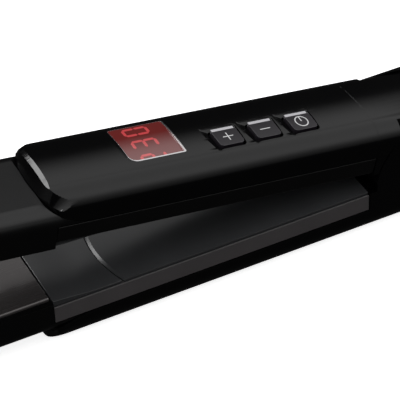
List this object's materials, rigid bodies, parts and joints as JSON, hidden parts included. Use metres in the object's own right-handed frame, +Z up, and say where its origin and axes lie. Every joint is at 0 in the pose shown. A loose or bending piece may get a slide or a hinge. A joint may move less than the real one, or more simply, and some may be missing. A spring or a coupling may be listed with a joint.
{
  "type": "hinged hair styler",
  "caption": "Hair straightening iron with two hinged arms, floating heated plates, a red temperature display, push keys and a swivel cord sleeve.",
  "frame": {"origin": "centre of the bounding box in plan, at the level of the surface it rests on", "axes": "+X along the lower arm from the tip to the cord end, +Y across the arms, +Z up"},
  "size_m": [0.2832, 0.0304, 0.0665],
  "materials": {
    "gloss_black": "high gloss black",
    "satin_grey": "satin dark grey",
    "heatproof_black": "semi-gloss heat-resistant black",
    "plate_coating": "dark ceramic coating, smooth",
    "heater_ceramic": "unglazed white",
    "steel": "plain steel",
    "silicone": "matt red silicone",
    "sensor_glass": "amber bead",
    "wire_sleeve": "woven glass sleeve",
    "window_red": "polished red tint",
    "window_rim": "polished dark rim",
    "display_block": "red segments in a dark block",
    "key_plum": "satin plum grey",
    "circuit_board": "green solder mask",
    "switch_black": "matt black",
    "relay_blue": "matt blue",
    "capacitor_sleeve": "dark blue sleeve",
    "swivel_rubber": "matt black"
  },
  "bodies": {
    "lower_arm": {"lower_cover": "gloss_black", "lower_inner_shell": "satin_grey", "lower_inner_panel": "satin_grey", "lower_bridge": "satin_grey", "lower_plate_housing": "heatproof_black", "lower_tip_cap": "heatproof_black", "lower_screw_left": "steel", "lower_screw_right": "steel", "lower_front_pad": "silicone", "lower_rear_pad": "silicone", "lower_lead_left": "wire_sleeve", "lower_lead_right": "wire_sleeve", "hinge_yoke": "gloss_black", "hinge_pin": "steel", "hinge_spring": "steel", "hinge_cap_left": "window_rim", "hinge_cap_right": "window_rim", "power_board": "circuit_board", "power_relay": "relay_blue", "power_capacitor": "capacitor_sleeve"},
    "upper_arm": {"upper_cover": "gloss_black", "upper_inner_shell": "satin_grey", "upper_inner_panel": "satin_grey", "upper_bridge": "satin_grey", "upper_plate_housing": "heatproof_black", "upper_tip_cap": "heatproof_black", "upper_screw_left": "steel", "upper_screw_right": "steel", "upper_front_pad": "silicone", "upper_rear_pad": "silicone", "upper_lead_left": "wire_sleeve", "upper_lead_right": "wire_sleeve", "hinge_drum": "gloss_black", "window_bezel": "window_rim", "control_board": "circuit_board", "display_module": "display_block", "display_window": "window_red", "plus_switch": "switch_black", "minus_switch": "switch_black", "power_switch": "switch_black"},
    "lower_floating_plate": {"lower_plate": "plate_coating", "lower_heater": "heater_ceramic", "lower_heater_clamp": "steel", "lower_temperature_sensor": "sensor_glass", "thermal_fuse": "steel"},
    "upper_floating_plate": {"upper_plate": "plate_coating", "upper_heater": "heater_ceramic", "upper_heater_clamp": "steel", "upper_temperature_sensor": "sensor_glass"},
    "plus_key": {"plus_button": "key_plum"},
    "minus_key": {"minus_button": "key_plum"},
    "power_key": {"power_button": "key_plum"},
    "cord_sleeve": {"cord_swivel": "swivel_rubber"}
  },
  "joints": [
    {"name": "arm_hinge", "type": "hinge", "parent": "lower_arm", "child": "upper_arm", "pos_m": [0.10525, 0, 0.0176], "axis": [0, -1, 0], "range_deg": [0, 8.7], "stiffness_Nm_per_rad": 0.6, "springref_deg": -34.38},
    {"name": "lower_plate_float", "type": "slide", "parent": "lower_arm", "child": "lower_floating_plate", "axis": [0, 0, -1], "range_m": [0, 0.0008], "stiffness_N_per_m": 4000, "springref_m": -0.0005, "deforming": ["lower_front_pad", "lower_rear_pad"]},
    {"name": "upper_plate_float", "type": "slide", "parent": "upper_arm", "child": "upper_floating_plate", "axis": [0.1513, 0, 0.9885], "range_m": [0, 0.0008], "stiffness_N_per_m": 4000, "springref_m": -0.0005, "deforming": ["upper_front_pad", "upper_rear_pad"]},
    {"name": "plus_press", "type": "slide", "parent": "upper_arm", "child": "plus_key", "axis": [-0.1513, 0, -0.9885], "range_m": [0, 0.0005], "stiffness_N_per_m": 900, "springref_m": -0.0006},
    {"name": "minus_press", "type": "slide", "parent": "upper_arm", "child": "minus_key", "axis": [-0.1513, 0, -0.9885], "range_m": [0, 0.0005], "stiffness_N_per_m": 900, "springref_m": -0.0006},
    {"name": "power_press", "type": "slide", "parent": "upper_arm", "child": "power_key", "axis": [-0.1513, 0, -0.9885], "range_m": [0, 0.0005], "stiffness_N_per_m": 900, "springref_m": -0.0006},
    {"name": "cord_swivel_turn", "type": "hinge", "parent": "lower_arm", "child": "cord_sleeve", "pos_m": [0.13225, 0, 0.0176], "axis": [1, 0, 0], "continuous": true}
  ]
}
